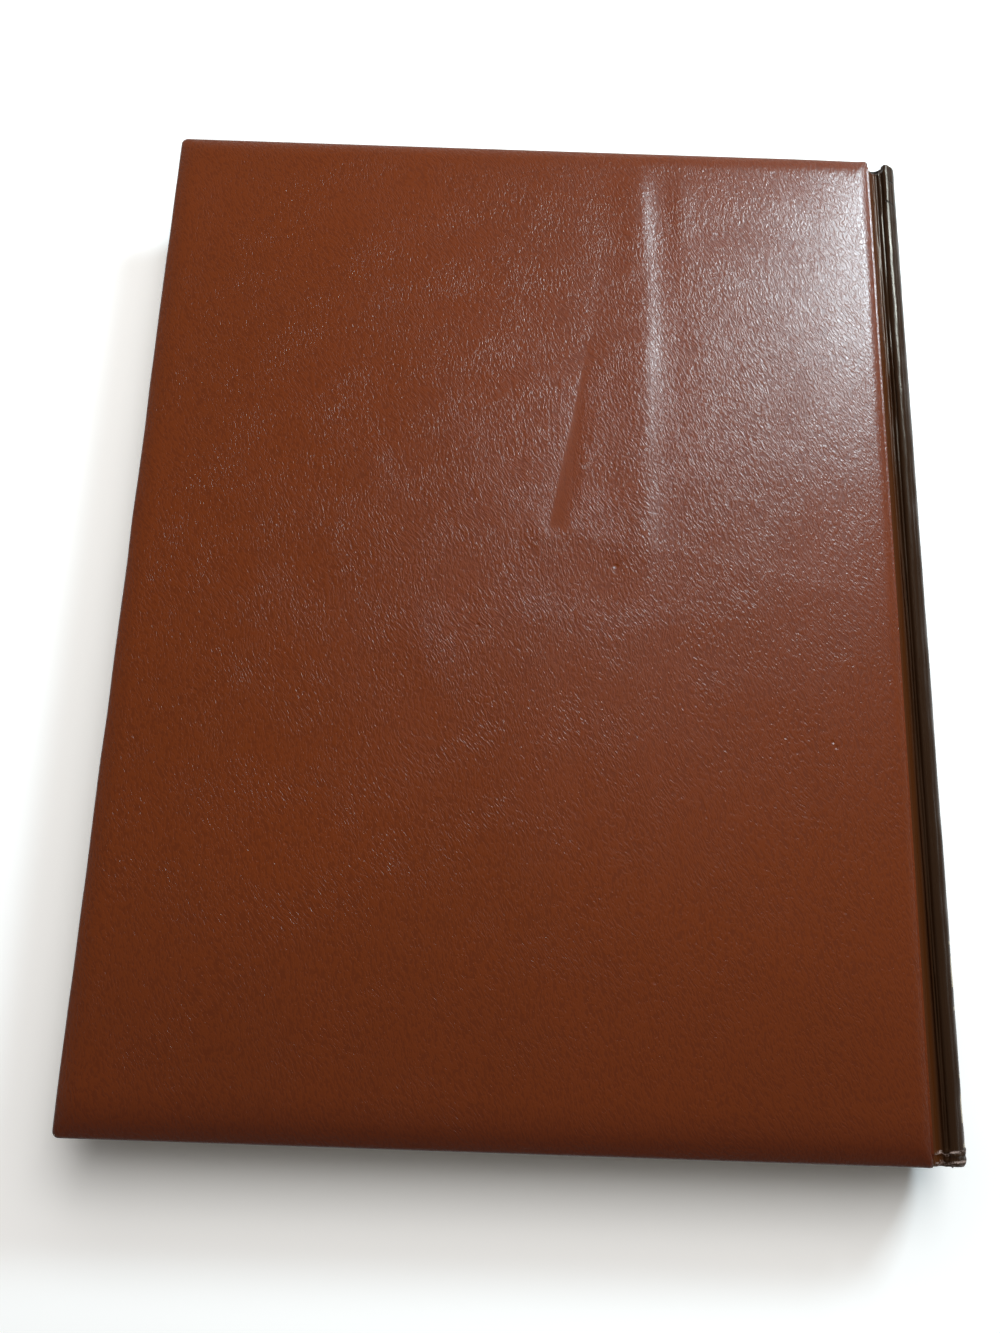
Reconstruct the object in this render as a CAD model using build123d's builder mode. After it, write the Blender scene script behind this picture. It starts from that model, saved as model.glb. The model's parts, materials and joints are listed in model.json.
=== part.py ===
"""Padded hardback book with a rounded, backed and hollow spine, closed and lying on its front cover.

X runs to the spine, Y to the head and Z up. Z is 0 on the surface that the book lies on. A level in a
cover counts from the inner face of its board, outwards.
"""

import os
from math import acos, asin, degrees

from build123d import *

# The pages: trimmed size, thickness, how far the back bulges and how the backed shoulders flare
trim_width = 215.9
trim_height = 279.4
block_thickness = 19.0
rounding = 3.6
shoulder_rise = 1.6
shoulder_run = 4.0

# The covers: how far they pass the pages, and the joint between each cover and its shoulder
square = 3.5
joint_gap = 6.0
board_thickness = 2.0
padding_thickness = 1.8
padding_roll = 6.0
padding_edge = 0.7
board_corner = 1.0

# Covering materials
leatherette_thickness = 0.5
turn_in_width = 15.0
fold_under_width = 5.0
spine_cloth_thickness = 0.6
lap_width = 12.0
cap_turn_in = 12.0

# Endpapers, spine linings and headbands
endpaper_thickness = 0.2
gauze_thickness = 0.2
kraft_thickness = 0.2
inlay_thickness = 0.5
hollow_depth = 1.2
lining_margin = 1.0
headband_tape = 12.0
headband_bead = 2.0

# Clearances
page_clearance = 0.2
groove_clearance = 0.1
cloth_clearance = 0.4
hollow_clearance = 0.1
mull_clearance = 0.5

# Heights in the closed book, from the surface up
cover_thickness = (
    endpaper_thickness + 2 * leatherette_thickness + board_thickness + padding_thickness
)
block_low = cover_thickness + page_clearance + endpaper_thickness
mid_height = block_low + block_thickness / 2
half_block = block_thickness / 2
half_shoulder = half_block + shoulder_rise

# The rounded back is an arc through both shoulder tips
back_radius = (half_shoulder**2 + rounding**2) / (2 * rounding)
shoulder_angle = degrees(asin(half_shoulder / back_radius))
kraft_radius = back_radius + gauze_thickness
lined_radius = kraft_radius + kraft_thickness

# The cloth is an arc that touches a small bend round each shoulder tip and bulges over the hollow
crest_gap = 2 * endpaper_thickness + groove_clearance
cloth_bulge = rounding + lined_radius - back_radius + hollow_depth + inlay_thickness
cloth_rise = cloth_bulge - crest_gap
cloth_lead = (half_shoulder**2 - cloth_rise**2) / (2 * cloth_rise)
cloth_radius = cloth_lead + cloth_bulge
inlay_radius = cloth_radius - inlay_thickness
spine_reach = cloth_bulge + spine_cloth_thickness

# Places across the book, with X 0 halfway between the fore edge of the covers and the spine
cover_width = trim_width + square - joint_gap
cover_height = trim_height + 2 * square
cover_left = -(cover_width + joint_gap + spine_reach) / 2
cover_right = cover_left + cover_width
board_left = cover_left + leatherette_thickness
board_right = cover_right - spine_cloth_thickness
half_board = cover_height / 2 - leatherette_thickness
tip_x = cover_right + joint_gap
fore_x = tip_x - trim_width
shoulder_x = tip_x - shoulder_run
back_centre_x = tip_x + rounding - back_radius
cloth_centre_x = tip_x - cloth_lead
turn_in_left = board_left + turn_in_width
turn_in_half = half_board - turn_in_width

# Levels in the upper cover
paste_level = mid_height + half_block + endpaper_thickness + page_clearance
turn_in_level = paste_level + endpaper_thickness
board_level = turn_in_level + leatherette_thickness
padding_level = board_level + board_thickness
lap_level = padding_level + spine_cloth_thickness
fold_level = lap_level + leatherette_thickness
mid_plane = Plane.XY.offset(mid_height)


def section(y=0.0):
    """The plane across the book at a place along the spine, with its origin at mid height."""
    return Plane(origin=(0, y, mid_height), x_dir=(1, 0, 0), z_dir=(0, -1, 0))


def arc_band(centre_x, radius, thickness, half_angle, y=0.0):
    """A curved strip across the spine."""
    with BuildSketch(section(y)) as band:
        with BuildLine():
            inner = CenterArc((centre_x, 0), radius, -half_angle, 2 * half_angle)
            outer = CenterArc((centre_x, 0), radius + thickness, -half_angle, 2 * half_angle)
            Line(inner @ 0, outer @ 0)
            Line(inner @ 1, outer @ 1)
        make_face()
    return band.sketch


def hollow_angle(radius):
    """How far an arc inside the hollow runs before it meets the lining on the back."""
    meeting_radius = lined_radius + hollow_clearance
    apart = cloth_centre_x - back_centre_x
    reach = (meeting_radius**2 - radius**2 - apart**2) / (2 * apart)
    return degrees(acos(reach / radius))


def shoulder_line(layer, start_x):
    """The top of the pages from a place along them to the shoulder tip, raised by a layer."""
    bend = (shoulder_run**2 + shoulder_rise**2) / (2 * shoulder_rise)
    reach = (bend - layer) / bend
    start = (shoulder_x, half_block + layer)
    tip = (shoulder_x + shoulder_run * reach, half_block + bend - (bend - shoulder_rise) * reach)
    face = Line((start_x, half_block + layer), start)
    flare = TangentArc(start, tip, tangent=(1, 0))
    return face @ 0, flare @ 1, flare % 1


def cloth_line(layer):
    """The spine cloth's run from the groove over the shoulder tip to the middle of the spine."""
    offset = crest_gap + layer
    start, flare_end, heading = shoulder_line(offset, cover_right + cloth_clearance)
    to_tip = cloth_radius - crest_gap
    top = (tip_x + offset * cloth_lead / to_tip, half_shoulder + offset * half_shoulder / to_tip)
    end = (tip_x + cloth_bulge + layer, 0)
    crest = TangentArc(flare_end, top, tangent=heading)
    TangentArc(top, end, tangent=crest % 1)
    return start, end


def plan(layer, height):
    """The board's plan grown by a layer, with rounded corners at the fore edge."""
    left = board_left - layer
    right = board_right + layer
    with BuildSketch(Plane.XY.offset(height)) as outline:
        with Locations(((left + right) / 2, 0)):
            Rectangle(right - left, 2 * (half_board + layer))
        fillet(outline.vertices().group_by(Axis.X)[0], board_corner + layer)
    return outline.sketch


def rolled_profile(plane, half_width, layer):
    """A flat top whose ends roll down to the board in two tangent arcs, grown by a layer."""
    height = padding_thickness + layer
    roll = padding_roll + layer
    tight = padding_edge + layer
    wide = ((roll - tight) ** 2 + height**2 - tight**2) / (2 * (height - tight))
    reach = wide / (wide - tight)
    edge = half_width + layer
    meet = (edge - roll + (roll - tight) * reach, height - wide + (wide - height) * reach)
    with BuildSketch(plane) as profile:
        with BuildLine():
            low = TangentArc((edge, 0), meet, tangent=(0, 1))
            high = TangentArc(meet, (edge - roll, height), tangent=low % 1)
            Line(high @ 1, (0, height))
            Line(low @ 0, (0, 0))
            mirror(about=Plane.YZ)
        make_face()
    return profile.sketch


def rolled_slab(layer):
    """The padding grown by a layer: its profiles across and along the book, kept inside its plan."""
    middle = ((board_left + board_right) / 2, 0, padding_level)
    half_width = (board_right - board_left) / 2
    across = Plane(origin=middle, x_dir=(1, 0, 0), z_dir=(0, -1, 0))
    along = Plane(origin=middle, x_dir=(0, 1, 0), z_dir=(1, 0, 0))
    with BuildPart() as slab:
        extrude(rolled_profile(across, half_width, layer), amount=half_board + layer, both=True)
        extrude(
            rolled_profile(along, half_board, layer),
            amount=half_width + layer,
            both=True,
            mode=Mode.INTERSECT,
        )
        extrude(plan(layer, padding_level), amount=padding_thickness + layer, mode=Mode.INTERSECT)
    return slab.part


def block(left, right, half_length, low, high, mode=Mode.ADD):
    """A straight block between two X places and two heights, centred on the book's length."""
    with Locations(((left + right) / 2, 0, (low + high) / 2)):
        return Box(right - left, 2 * half_length, high - low, mode=mode)


# Text block: rounded back, backed shoulders and the hollow fore edge that rounding leaves
with BuildPart() as text_block:
    with BuildSketch(section()):
        with BuildLine():
            corner, tip, _ = shoulder_line(0, fore_x)
            ThreePointArc(tip, (tip_x + rounding, 0), (tip.X, -tip.Y))
            ThreePointArc(corner, (fore_x + rounding, 0), (corner.X, -corner.Y))
            mirror(about=Plane.XZ)
        make_face()
    extrude(amount=trim_height / 2, both=True)

# Flyleaves: the loose halves of the endpapers, which follow the shoulders
with BuildPart() as back_flyleaf:
    with BuildSketch(section()):
        with BuildLine():
            low_corner, low_tip, _ = shoulder_line(0, fore_x)
            high_corner, high_tip, _ = shoulder_line(endpaper_thickness, fore_x)
            Line(low_corner, high_corner)
            Line(low_tip, high_tip)
        make_face()
    extrude(amount=trim_height / 2, both=True)

# Headbands: a bead on the end of the pages, on a tape glued to the back
with BuildPart() as head_band:
    with BuildSketch(mid_plane):
        with Locations((back_centre_x + kraft_radius - headband_bead / 2, (trim_height + headband_bead) / 2)):
            Circle(headband_bead / 2)
        with Locations((back_centre_x + back_radius, (trim_height + headband_bead) / 2)):
            Rectangle(gauze_thickness, headband_tape, align=(Align.MIN, Align.MAX))
    revolve(
        axis=Axis((back_centre_x, 0, mid_height), (0, 1, 0)),
        revolution_arc=shoulder_angle,
    )
    mirror(about=mid_plane)

# Mull: gauze between the two headband tapes
with BuildPart() as mull:
    tape_end = (trim_height + headband_bead) / 2 - headband_tape
    extrude(
        arc_band(back_centre_x, back_radius, gauze_thickness, shoulder_angle),
        amount=tape_end - mull_clearance,
        both=True,
    )

# Kraft lining over the mull and the headband tapes
with BuildPart() as spine_lining:
    extrude(
        arc_band(back_centre_x, kraft_radius, kraft_thickness, shoulder_angle),
        amount=trim_height / 2 - lining_margin,
        both=True,
    )

# Spine inlay: the curved card that keeps the hollow back in shape
with BuildPart() as spine_inlay:
    extrude(
        arc_band(cloth_centre_x, inlay_radius, inlay_thickness, hollow_angle(inlay_radius)),
        amount=cover_height / 2 - spine_cloth_thickness,
        both=True,
    )

# Spine cover: one cloth from groove to groove, turned in round both ends of the inlay
with BuildPart() as spine_cover:
    with BuildSketch(section()):
        with BuildLine():
            inner_start, inner_end = cloth_line(0)
            outer_start, outer_end = cloth_line(spine_cloth_thickness)
            Line(inner_start, outer_start)
            Line(inner_end, outer_end)
        make_face()
        mirror(about=Plane.XZ)
    extrude(amount=-cover_height / 2)
    turn_in_radius = inlay_radius - spine_cloth_thickness
    turn_in_angle = hollow_angle(turn_in_radius)
    over_end = 2 * spine_cloth_thickness + inlay_thickness
    for thickness, depth in ((spine_cloth_thickness, cap_turn_in), (over_end, spine_cloth_thickness)):
        extrude(
            arc_band(cloth_centre_x, turn_in_radius, thickness, turn_in_angle, cover_height / 2),
            amount=depth,
        )
    mirror(about=Plane.XZ)

# Board of the upper cover
with BuildPart() as back_board:
    extrude(plan(0, board_level), amount=board_thickness)

# Lap of the spine cloth, up the spine edge of the board and over it
with BuildPart() as back_spine_lap:
    with BuildSketch(Plane.XZ):
        with BuildLine():
            Polyline(
                (board_right, board_level),
                (board_right, padding_level),
                (board_right - lap_width, padding_level),
                (board_right - lap_width, lap_level),
                (board_right, lap_level),
            )
            bend = CenterArc((board_right, padding_level), spine_cloth_thickness, 0, 90)
            Polyline(bend @ 0, (cover_right, board_level), (board_right, board_level))
        make_face()
    extrude(amount=half_board, both=True)

# Padding: foam that rolls over the board's edges, thinner over the lap and the folded leatherette
with BuildPart() as back_padding:
    add(rolled_slab(0))
    block(board_right - lap_width, cover_right, half_board, padding_level, lap_level, Mode.SUBTRACT)
    block(board_right - fold_under_width, cover_right, half_board, padding_level, fold_level, Mode.SUBTRACT)

# Leatherette: stretched over the padding, turned in on three sides and folded under at the spine
with BuildPart() as back_leatherette:
    add(rolled_slab(leatherette_thickness))
    extrude(plan(leatherette_thickness, turn_in_level), amount=padding_level - turn_in_level)
    block(board_right, cover_right, cover_height / 2, turn_in_level, lap_level, Mode.SUBTRACT)
    block(turn_in_left, cover_right, turn_in_half, turn_in_level, board_level, Mode.SUBTRACT)
    for wrapped in (back_board, back_spine_lap, back_padding):
        add(wrapped.part, mode=Mode.SUBTRACT)

# Pastedown: the glued half of the endpaper, which steps over the turned-in leatherette
with BuildPart() as back_pastedown:
    block(fore_x, board_right, trim_height / 2, paste_level, turn_in_level)
    block(turn_in_left, board_right, turn_in_half, paste_level, board_level)
    block(
        turn_in_left + endpaper_thickness,
        board_right,
        turn_in_half - endpaper_thickness,
        paste_level,
        board_level - endpaper_thickness,
        Mode.SUBTRACT,
    )

pieces = {
    "text_block": text_block,
    "back_flyleaf": back_flyleaf,
    "head_band": head_band,
    "mull": mull,
    "spine_lining": spine_lining,
    "spine_inlay": spine_inlay,
    "spine_cover": spine_cover,
    "back_board": back_board,
    "back_spine_lap": back_spine_lap,
    "back_padding": back_padding,
    "back_leatherette": back_leatherette,
    "back_pastedown": back_pastedown,
}

# The lower cover and endpaper mirror the upper ones, and the tail headband mirrors the head one
for name in [name for name in pieces if name.startswith("back_")]:
    with BuildPart() as twin:
        mirror(pieces[name].part, about=mid_plane)
    pieces[name.replace("back_", "front_")] = twin
with BuildPart() as tail_band:
    mirror(head_band.part, about=Plane.XZ)
pieces["tail_band"] = tail_band

os.makedirs("parts", exist_ok=True)
for name, piece in pieces.items():
    piece.part.label = name
    export_step(piece.part, f"parts/{name}.step")
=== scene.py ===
"""Padded hardback book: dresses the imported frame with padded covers, a creased spine cloth and its papers."""

import json
from functools import partial
from math import asin, ceil, cos, pi, radians, sin, sqrt

import bpy
import numpy as np
from bpy.props import FloatProperty, FloatVectorProperty, PointerProperty
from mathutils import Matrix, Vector


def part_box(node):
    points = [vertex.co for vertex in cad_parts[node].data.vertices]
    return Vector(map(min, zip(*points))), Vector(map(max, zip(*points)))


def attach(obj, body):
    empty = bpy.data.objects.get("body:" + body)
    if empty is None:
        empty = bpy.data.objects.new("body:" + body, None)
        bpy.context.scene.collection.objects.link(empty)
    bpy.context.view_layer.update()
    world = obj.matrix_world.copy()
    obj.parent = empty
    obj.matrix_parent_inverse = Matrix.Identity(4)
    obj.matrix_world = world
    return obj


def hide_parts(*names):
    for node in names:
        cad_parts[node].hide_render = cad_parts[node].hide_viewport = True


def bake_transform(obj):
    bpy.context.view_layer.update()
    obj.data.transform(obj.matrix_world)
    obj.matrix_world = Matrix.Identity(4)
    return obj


bl_info = {
    "name": "Padded Hardback Book",
    "version": (1, 0, 0),
    "blender": (4, 5, 0),
    "location": "3D View > Sidebar > Book",
    "description": "Dresses the frame of a padded hardback book and lights it",
    "category": "Object",
}

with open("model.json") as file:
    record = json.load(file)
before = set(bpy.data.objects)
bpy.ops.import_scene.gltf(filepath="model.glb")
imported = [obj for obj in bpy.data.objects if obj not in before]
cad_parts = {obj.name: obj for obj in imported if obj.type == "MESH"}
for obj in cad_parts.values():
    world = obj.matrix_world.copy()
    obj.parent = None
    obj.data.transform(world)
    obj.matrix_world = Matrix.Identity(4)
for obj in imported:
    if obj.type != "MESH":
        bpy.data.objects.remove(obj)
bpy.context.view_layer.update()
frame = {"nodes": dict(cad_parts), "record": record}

MM = 0.001


def box_in_mm(node):
    """The low and high corners of a CAD node's box, in millimetres."""
    return [[c / MM for c in corner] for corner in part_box(node)]


# Places in millimetres, read from the frame
skin_low, skin_high = box_in_mm("back_leatherette")
board_low, board_high = box_in_mm("back_board")
paste_low, paste_high = box_in_mm("back_pastedown")
lap_low, lap_high = box_in_mm("back_spine_lap")
spine_high = box_in_mm("spine_cover")[1]
back_hinge, front_hinge = [
    [c / MM for c in joint["pos_m"]] for joint in frame["record"]["behaviour"]["joints"]
]
tip_x, tip_z = back_hinge[0], back_hinge[2]
mid_z = (back_hinge[2] + front_hinge[2]) / 2
half_tip = tip_z - mid_z
half_cover = skin_high[1]
half_board = board_high[1]
half_pages = box_in_mm("text_block")[1][1]
cloth = lap_high[0] - board_high[0]
leather = skin_high[2] - box_in_mm("back_padding")[1][2]

# The shoulder of the pages: its run before the tip and how far it rises
shoulder_run = 4.0
shoulder_rise = 1.6
shoulder_bend = (shoulder_run**2 + shoulder_rise**2) / (2 * shoulder_rise)
half_block = half_tip - shoulder_rise

# The inlay card, and how far from head and tail the spine cloth's lap and the leatherette's fold end
inlay_card = 0.5
lap_end = 3.4


def linear(hexadecimal):
    """An sRGB colour such as 5e2a12, as linear RGBA."""
    values = [int(hexadecimal[i : i + 2], 16) / 255 for i in (0, 2, 4)]
    return [v / 12.92 if v <= 0.04045 else ((v + 0.055) / 1.055) ** 2.4 for v in values] + [1.0]


def colour(name, description, hexadecimal):
    return FloatVectorProperty(
        name=name, description=description, default=linear(hexadecimal), size=4, min=0, max=1, subtype="COLOR"
    )


def length(name, description, millimetres):
    return FloatProperty(name=name, description=description, default=millimetres * MM, min=0, unit="LENGTH")


class BookSizes(bpy.types.PropertyGroup):
    """Sizes of the book's coverings that a user would change."""

    roll: length("Edge roll", "Width of the padding's rolled edge", 6.5)
    edge_radius: length("Edge radius", "Radius at the very edge of a cover", 1.2)
    turn_in: length("Turn-in", "Leatherette turned over the inside of a board", 15.5)
    fold_under: length("Fold under", "Leatherette folded under at the joint", 5.0)
    crease_depth: length("Crease depth", "Depth of the pressed crease in the upper cover", 0.46)
    swell: length("Swell", "Unevenness of the padding", 0.07)
    ridge: length("Ridge", "Height of the long soft ridge in the upper cover", 0.56)
    cap_turn_in: length("Cap turn-in", "Spine cloth turned in at the head and the tail", 12.0)
    groove_crease: length("Groove creases", "Height of the creases pressed along the joint", 0.32)
    thread: length("Headband thread", "Width of one turn of the headband's thread", 0.8)


class BookColours(bpy.types.PropertyGroup):
    """Colours of the book that a user would change."""

    leather: colour("Leatherette", "Padded leatherette", "70300a")
    leather_deep: colour("Leatherette grain", "Valleys of the leatherette's grain", "562005")
    cloth: colour("Spine cloth", "Glossy spine leatherette", "2e1d11")
    cloth_warm: colour("Joint cloth", "Spine leatherette where it is pressed into the joint", "50290f")
    mark: colour("Spine marks", "Plain printed rules on the spine", "d9cdb4")
    paper: colour("Pages", "Book paper", "ece3cf")
    endpaper: colour("Endpapers", "Uncoated endpaper", "f0eadc")
    board: colour("Grey board", "Edge and face of the boards", "8d877c")
    card: colour("Inlay card", "Card behind the spine", "a39a8a")
    foam: colour("Foam", "Padding in the covers", "ece7d8")
    kraft: colour("Kraft", "Paper lining on the back", "a87f52")
    gauze: colour("Mull", "Gauze on the back", "e4dfcf")
    band: colour("Headband", "Thread of the headbands", "e2d6b8")


# Materials

# The setting that a node's word goes to, such as MULTIPLY on a Math node
WORDS = {
    "Attribute": "attribute_name",
    "MapRange": "interpolation_type",
    "Math": "operation",
    "Mix": "data_type",
    "VectorMath": "operation",
    "VectorRotate": "rotation_type",
}


def feed(node, inputs):
    """Gives a node's inputs their values. A value may be another node's output, which is then linked."""
    for name, value in inputs.items():
        if isinstance(value, bpy.types.NodeSocket):
            node.id_data.links.new(value, node.inputs[name])
        else:
            node.inputs[name].default_value = value


def add_node(tree, kind, *values, **named):
    """Adds a node and returns its first output. A word in front is the node's own setting, and the values
    after it go to its inputs in order. A name with a capital is an input, and any other is a setting."""
    made = tree.nodes.new("ShaderNode" + kind)
    if values and isinstance(values[0], str):
        setattr(made, WORDS[kind], values[0])
        values = values[1:]
    for name in [name for name in named if name.islower()]:
        setattr(made, name, named.pop(name))
    order = [number for number, socket in enumerate(made.inputs) if socket.enabled]
    feed(made, {**dict(zip(order, values)), **named})
    return next((socket for socket in made.outputs if socket.enabled), None)


def start_material(name, rough, base, ior=1.5, bends=False):
    """A new material, what adds a node to it, its shader, and its coordinates in millimetres. On a piece
    that bends they come from the piece's own attribute, so that the pattern stays on it."""
    material = bpy.data.materials.new(name)
    material.use_nodes = True
    material.diffuse_color = base
    add = partial(add_node, material.node_tree)
    shader = material.node_tree.nodes["Principled BSDF"]
    feed(shader, {"Roughness": rough, "Base Color": base, "IOR": ior})
    if bends:
        place = add("Attribute", "closed_place").node.outputs["Vector"]
    else:
        place = add("TexCoord").node.outputs["Object"]
    return material, add, shader, add("VectorMath", "MULTIPLY", place, (1 / MM, 1 / MM, 1 / MM))


def finish_bump(add, shader, layers):
    """Bumps one on another: each is a height from 0 to 1 and its depth in millimetres."""
    under = {}
    for height, depth in layers:
        under["Normal"] = add("Bump", Height=height, Strength=1.0, Distance=depth * MM, **under)
    feed(shader, {"Normal": under["Normal"], "Coat Normal": under["Normal"]})


def padded_leatherette(name, colours, pits):
    """Semi-gloss PU leatherette, embossed with short slanted strokes of grain, calendered and stretched
    over foam. The strokes are 0.5 by 1.5 mm, a little coarser than the real ones, so that they show.
    Paler patches at random are painted sheen, and the tail is painted darker as shade. On a cover with
    pits, the grain beside the crease is pressed flat."""
    stroke_width, stroke_length, slant = 0.5, 1.5, -24
    material, add, shader, place = start_material(name, 0.36, colours.leather)
    sway = add("Math", "SUBTRACT", add("TexNoise", place, 1 / 24, 1.0), 0.5)
    swayed = add("VectorMath", "ADD", place, add("CombineXYZ", add("Math", "MULTIPLY", sway, 9.0)))
    lean = add("VectorRotate", "Z_AXIS", swayed, Angle=radians(slant))
    strokes = add("VectorMath", "MULTIPLY", lean, (1 / stroke_width, 1 / stroke_length, 1 / stroke_width))
    grain = add("TexNoise", strokes, 1.0, 1.5, 0.5, Distortion=0.5)
    fine = add("TexNoise", add("VectorMath", "MULTIPLY", lean, (3.4, 1.6, 3.4)), 1.0, 1.0)
    patches = add("TexNoise", place, 1 / 9, 2.0, 0.6)
    strength = add("MapRange", "SMOOTHSTEP", patches, 0.25, 0.65, 0.6, 1.0)
    relief = add("Math", "MULTIPLY", add("MapRange", "SMOOTHSTEP", grain, 0.4, 0.62), strength)
    valley = add("MapRange", "SMOOTHSTEP", grain, 0.36, 0.5, 1.0, 0.0)
    mottle = add("TexNoise", place, 1 / 45, 3.0, 0.6)
    x, y = add("SeparateXYZ", place).node.outputs[:2]
    if pits:
        crease_lean, crease_x = 0.175, 0.72
        beside = add("Math", "SUBTRACT", x, add("Math", "MULTIPLY_ADD", y, crease_lean, crease_x))
        past = add("Math", "SUBTRACT", beside, add("MapRange", "SMOOTHSTEP", y, 18.0, 93.0, 6.4, 2.0))
        pressed = add("MapRange", "SMOOTHSTEP", beside, -0.2, 0.4)
        for limit in ((past, -4.0, 1.2, 1.0, 0.0), (y, 16.6, 18.2), (y, 60.0, 105.0, 0.86, 0.0)):
            pressed = add("Math", "MULTIPLY", pressed, add("MapRange", "SMOOTHSTEP", *limit))
        relief = add("Math", "MULTIPLY", relief, add("Math", "SUBTRACT", 1.0, pressed))
    base = add("Mix", "RGBA", add("Math", "MULTIPLY", valley, 0.42), colours.leather, colours.leather_deep)
    # Painted sheen: paler patches at random places stand in for uneven reflection on the leatherette
    paler = add("Mix", "RGBA", 1.0, base, (1.1, 1.08, 1.05, 1.0), blend_type="MULTIPLY")
    base = add("Mix", "RGBA", add("MapRange", "SMOOTHSTEP", mottle, 0.35, 0.7, 0.0, 0.55), base, paler)
    # Painted shade: darker towards the tail, strongest at the tail edge and gone 75 mm in
    tail_shade = [
        add("MapRange", "SMOOTHSTEP", y, -half_cover, reach - half_cover, most, 0.0)
        for reach, most in ((14, 0.42), (75, 0.22))
    ]
    base = add("Mix", "RGBA", add("Math", "ADD", *tail_shade), base, linear("3e0e00"))
    rough = add("MapRange", "SMOOTHSTEP", add("TexNoise", place, 1 / 30, 3.0), 0.3, 0.7, 0.39, 0.43)
    gloss = {
        "Base Color": base,
        "Roughness": add("Math", "MULTIPLY_ADD", valley, 0.05, rough),
        "Specular Tint": (0.82, 0.95, 1.0, 1.0),
        "Specular IOR Level": 0.32,
        "Coat Weight": 1.0,
        "Coat Roughness": 0.27,
    }
    feed(shader, gloss)
    layers = [(relief, 0.05), (fine, 0.01)]
    marks = None
    for at_x, at_y, radius, depth in pits:
        away = add("VectorMath", "DISTANCE", place, (at_x, at_y, skin_high[2]))
        mark = add("MapRange", "SMOOTHSTEP", away, radius * 0.15, radius, -depth, 0.0)
        marks = mark if marks is None else add("Math", "ADD", marks, mark)
    if pits:
        layers.append((marks, 1.0))
    finish_bump(add, shader, layers)
    return material


# Where the spine's caps are folded by wear: distance up from the tail, the wave's swing and the fold's height
TAIL_FOLDS = ((3.3, 0.45, 0.3), (1.2, 0.3, 0.24))


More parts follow.
